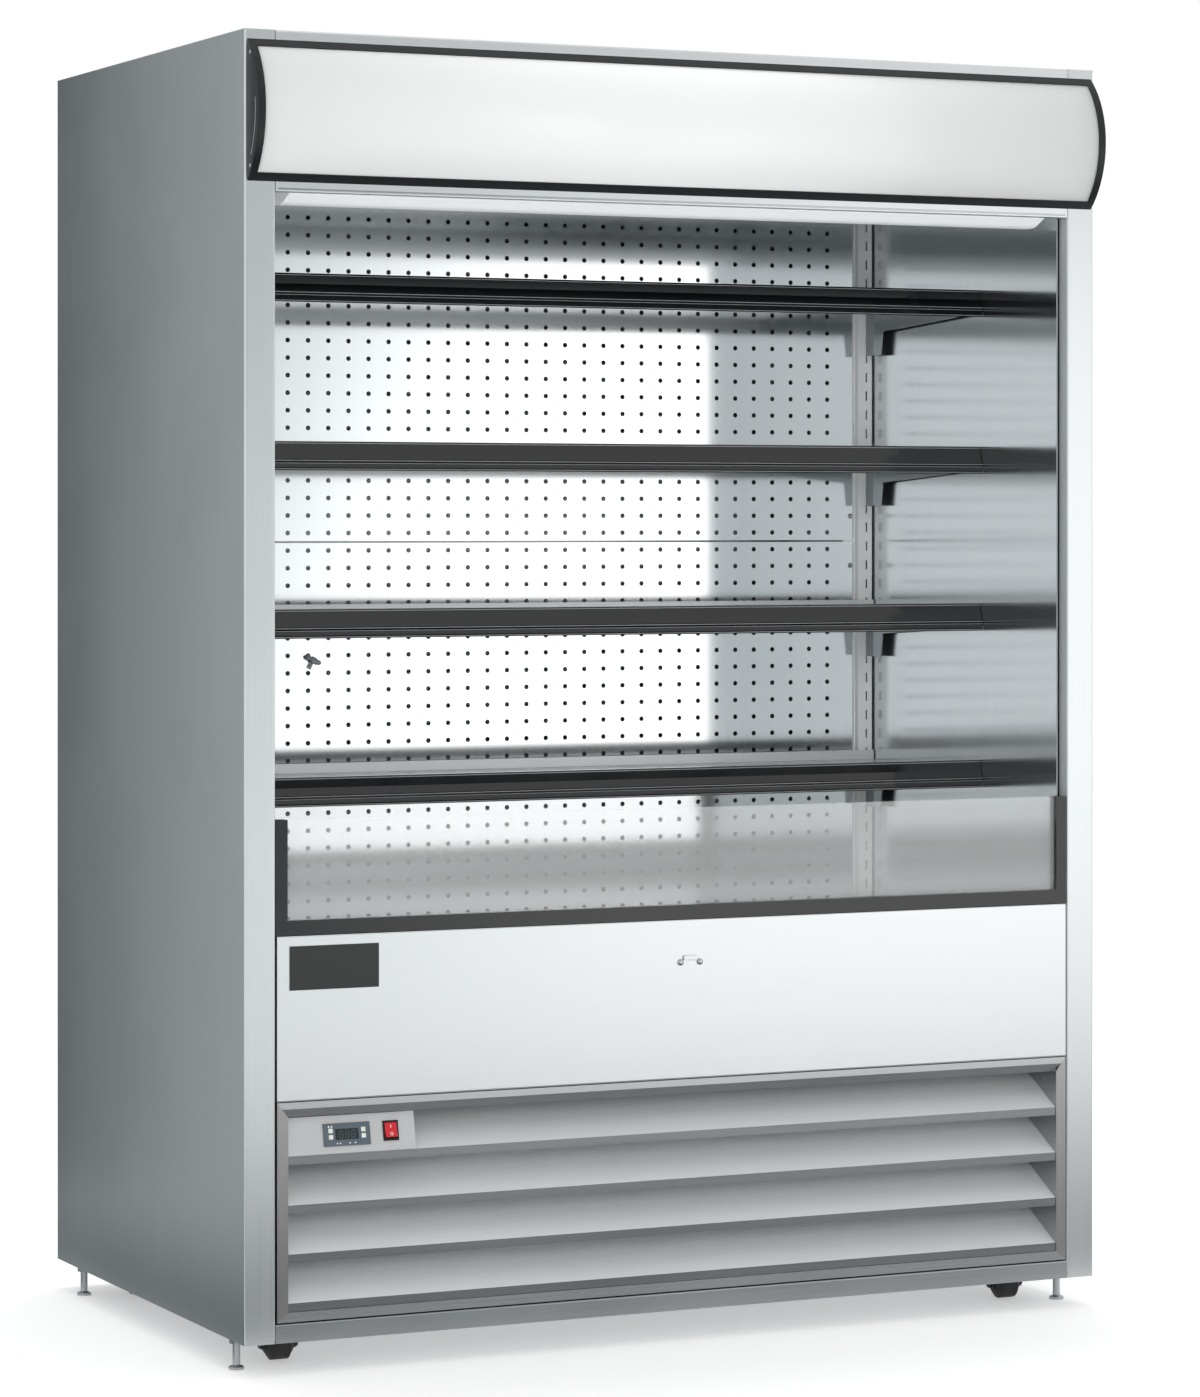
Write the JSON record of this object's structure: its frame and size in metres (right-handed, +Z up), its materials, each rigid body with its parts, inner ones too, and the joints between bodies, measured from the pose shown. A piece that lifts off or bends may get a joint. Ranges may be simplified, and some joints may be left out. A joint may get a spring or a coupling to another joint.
{
  "type": "open multideck display fridge",
  "caption": "Upright open-fronted refrigerated display cabinet in brushed steel with lit curved canopy, adjustable shelves, glass riser and louvred machine compartment.",
  "frame": {"origin": "on the floor, under the middle of the whole cabinet with its canopy", "axes": "+Z up, -Y out of the open front, +X to the right seen from the front"},
  "size_m": [1.5, 0.9479, 2.05],
  "materials": {
    "casing_steel": "satin",
    "liner_steel": "satin",
    "foam": "matte",
    "zinc_steel": "satin",
    "black_steel": "satin",
    "wheel_rubber": "matte",
    "gloss_black": "gloss",
    "black_moulding": "satin",
    "opal_acrylic": "satin",
    "clear_glass": "gloss",
    "controller_grey": "satin",
    "key_white": "satin",
    "switch_red": "gloss",
    "coil_fins": "satin"
  },
  "bodies": {
    "cabinet": {"air_outlet_honeycomb": "black_moulding", "back_panel": "casing_steel", "base_frame": "zinc_steel", "bottom_rail": "casing_steel", "canopy_frame": "black_moulding", "canopy_panel": "opal_acrylic", "ceiling_panel": "liner_steel", "compressor": "black_steel", "condenser_coil": "coil_fins", "condenser_fan_shroud": "zinc_steel", "controller_housing": "controller_grey", "deck_panel": "liner_steel", "evaporator_coil": "coil_fins", "evaporator_fan_plate": "liner_steel", "header_panel": "casing_steel", "inner_liner": "liner_steel", "insulation": "foam", "interior_lamp": "opal_acrylic", "left_side_panel": "casing_steel", "louvre_frame": "casing_steel", "louvre_slats": "casing_steel", "lower_front_panel": "casing_steel", "rear_caster_forks": "black_steel", "rear_panel_lower": "liner_steel", "rear_panel_upper": "liner_steel", "return_grille": "liner_steel", "right_side_panel": "casing_steel", "riser_frame": "gloss_black", "riser_glass": "clear_glass", "roof_panel": "casing_steel", "shelf_brackets": "liner_steel", "slotted_uprights": "liner_steel", "switch_housing": "black_moulding", "temperature_probe": "black_moulding"},
    "shelf_1_body": {"shelf_1": "liner_steel", "price_rail_1": "gloss_black"},
    "shelf_2_body": {"shelf_2": "liner_steel", "price_rail_2": "gloss_black"},
    "shelf_3_body": {"shelf_3": "liner_steel", "price_rail_3": "gloss_black"},
    "shelf_4_body": {"shelf_4": "liner_steel", "price_rail_4": "gloss_black"},
    "front_caster_fork_left_body": {"front_caster_fork_left": "black_steel"},
    "front_caster_fork_right_body": {"front_caster_fork_right": "black_steel"},
    "front_wheel_left_body": {"front_wheel_left": "wheel_rubber"},
    "front_wheel_right_body": {"front_wheel_right": "wheel_rubber"},
    "rear_wheel_left_body": {"rear_wheel_left": "wheel_rubber"},
    "rear_wheel_right_body": {"rear_wheel_right": "wheel_rubber"},
    "front_foot_left_body": {"front_foot_left": "zinc_steel"},
    "front_foot_right_body": {"front_foot_right": "zinc_steel"},
    "rear_foot_left_body": {"rear_foot_left": "zinc_steel"},
    "rear_foot_right_body": {"rear_foot_right": "zinc_steel"},
    "switch_rocker_body": {"switch_rocker": "switch_red"},
    "controller_key_up_body": {"controller_key_up": "key_white"},
    "controller_key_down_body": {"controller_key_down": "key_white"},
    "controller_key_timer_body": {"controller_key_timer": "key_white"},
    "controller_key_set_body": {"controller_key_set": "key_white"},
    "condenser_fan_body": {"condenser_fan": "black_moulding"},
    "evaporator_fan_left_body": {"evaporator_fan_left": "black_moulding"},
    "evaporator_fan_right_body": {"evaporator_fan_right": "black_moulding"}
  },
  "joints": [
    {"name": "shelf_1_slide", "type": "slide", "parent": "cabinet", "child": "shelf_1_body", "axis": [0, -1, 0], "range_m": [0, 0.25]},
    {"name": "shelf_2_slide", "type": "slide", "parent": "cabinet", "child": "shelf_2_body", "axis": [0, -1, 0], "range_m": [0, 0.25]},
    {"name": "shelf_3_slide", "type": "slide", "parent": "cabinet", "child": "shelf_3_body", "axis": [0, -1, 0], "range_m": [0, 0.25]},
    {"name": "shelf_4_slide", "type": "slide", "parent": "cabinet", "child": "shelf_4_body", "axis": [0, -1, 0], "range_m": [0, 0.25]},
    {"name": "front_caster_left_swivel", "type": "hinge", "parent": "cabinet", "child": "front_caster_fork_left_body", "pos_m": [-0.65, -0.288, 0.07], "axis": [0, 0, 1], "continuous": true},
    {"name": "front_wheel_left_spin", "type": "hinge", "parent": "front_caster_fork_left_body", "child": "front_wheel_left_body", "pos_m": [-0.65, -0.306, 0.028], "axis": [1, 0, 0], "continuous": true},
    {"name": "rear_wheel_left_spin", "type": "hinge", "parent": "cabinet", "child": "rear_wheel_left_body", "pos_m": [-0.65, 0.346, 0.028], "axis": [1, 0, 0], "continuous": true},
    {"name": "front_foot_left_screw", "type": "slide", "parent": "cabinet", "child": "front_foot_left_body", "axis": [0, 0, 1], "range_m": [-0.015, 0.003]},
    {"name": "rear_foot_left_screw", "type": "slide", "parent": "cabinet", "child": "rear_foot_left_body", "axis": [0, 0, 1], "range_m": [-0.015, 0.003]},
    {"name": "front_caster_right_swivel", "type": "hinge", "parent": "cabinet", "child": "front_caster_fork_right_body", "pos_m": [0.65, -0.288, 0.07], "axis": [0, 0, 1], "continuous": true},
    {"name": "front_wheel_right_spin", "type": "hinge", "parent": "front_caster_fork_right_body", "child": "front_wheel_right_body", "pos_m": [0.65, -0.306, 0.028], "axis": [1, 0, 0], "continuous": true},
    {"name": "rear_wheel_right_spin", "type": "hinge", "parent": "cabinet", "child": "rear_wheel_right_body", "pos_m": [0.65, 0.346, 0.028], "axis": [1, 0, 0], "continuous": true},
    {"name": "front_foot_right_screw", "type": "slide", "parent": "cabinet", "child": "front_foot_right_body", "axis": [0, 0, 1], "range_m": [-0.015, 0.003]},
    {"name": "rear_foot_right_screw", "type": "slide", "parent": "cabinet", "child": "rear_foot_right_body", "axis": [0, 0, 1], "range_m": [-0.015, 0.003]},
    {"name": "switch_rock", "type": "hinge", "parent": "cabinet", "child": "switch_rocker_body", "pos_m": [-0.5075, -0.4173, 0.36285], "axis": [1, 0, 0], "range_deg": [0, 18]},
    {"name": "controller_key_up_press", "type": "slide", "parent": "cabinet", "child": "controller_key_up_body", "axis": [0, 0.9781, -0.2079], "range_m": [0, 0.0006], "stiffness_N_per_m": 400, "springref_m": -0.0005},
    {"name": "controller_key_down_press", "type": "slide", "parent": "cabinet", "child": "controller_key_down_body", "axis": [0, 0.9781, -0.2079], "range_m": [0, 0.0006], "stiffness_N_per_m": 400, "springref_m": -0.0005},
    {"name": "controller_key_timer_press", "type": "slide", "parent": "cabinet", "child": "controller_key_timer_body", "axis": [0, 0.9781, -0.2079], "range_m": [0, 0.0006], "stiffness_N_per_m": 400, "springref_m": -0.0005},
    {"name": "controller_key_set_press", "type": "slide", "parent": "cabinet", "child": "controller_key_set_body", "axis": [0, 0.9781, -0.2079], "range_m": [0, 0.0006], "stiffness_N_per_m": 400, "springref_m": -0.0005},
    {"name": "condenser_fan_spin", "type": "hinge", "parent": "cabinet", "child": "condenser_fan_body", "pos_m": [-0.33, -0.166, 0.2228], "axis": [0, 1, 0], "continuous": true},
    {"name": "evaporator_fan_left_spin", "type": "hinge", "parent": "cabinet", "child": "evaporator_fan_left_body", "pos_m": [-0.33, -0.146, 0.546], "axis": [0, 1, 0], "continuous": true},
    {"name": "evaporator_fan_right_spin", "type": "hinge", "parent": "cabinet", "child": "evaporator_fan_right_body", "pos_m": [0.33, -0.146, 0.546], "axis": [0, 1, 0], "continuous": true}
  ]
}
